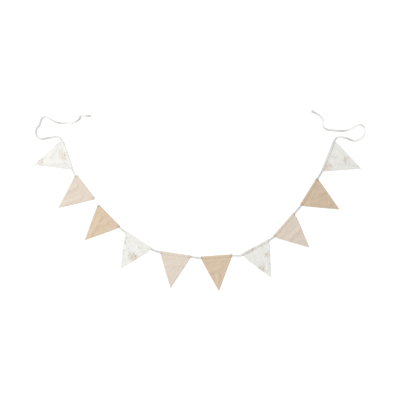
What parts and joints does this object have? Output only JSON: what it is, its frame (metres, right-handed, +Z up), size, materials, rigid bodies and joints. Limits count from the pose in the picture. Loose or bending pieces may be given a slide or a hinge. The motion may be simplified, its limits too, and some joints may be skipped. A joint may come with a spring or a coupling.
{
  "type": "fabric bunting",
  "caption": "Garland of sewn triangular cotton flags with casings, threaded on one flat cotton tape whose ends are left free as ties; it lies flat in an arc.",
  "frame": {"origin": "bottom centre of the flags' box, on the surface that the garland lies on; the tape is measured apart", "axes": "+X along the garland's span, from its left end to its right end; +Y towards the open side of the arc, where the ties lie; +Z up from the surface"},
  "size_m": [1.5757, 0.8625, 0.0057],
  "materials": {
    "printed_cotton": "off-white plain-weave cotton with a small sparse flower print, matt and softly creased",
    "beige_cotton": "pale beige open plain-weave cotton, matt, slubby and softly creased",
    "tan_cotton": "light tan open plain-weave cotton, matt, slubby and softly creased",
    "tape_cotton": "white woven cotton tape with firm edges, matt"
  },
  "bodies": {
    "root": {"flag_01": "printed_cotton", "flag_02": "beige_cotton", "flag_03": "tan_cotton", "flag_04": "printed_cotton", "flag_05": "beige_cotton", "flag_06": "tan_cotton", "flag_07": "printed_cotton", "flag_08": "beige_cotton", "flag_09": "tan_cotton", "flag_10": "printed_cotton", "tape": "tape_cotton"}
  },
  "joints": []
}
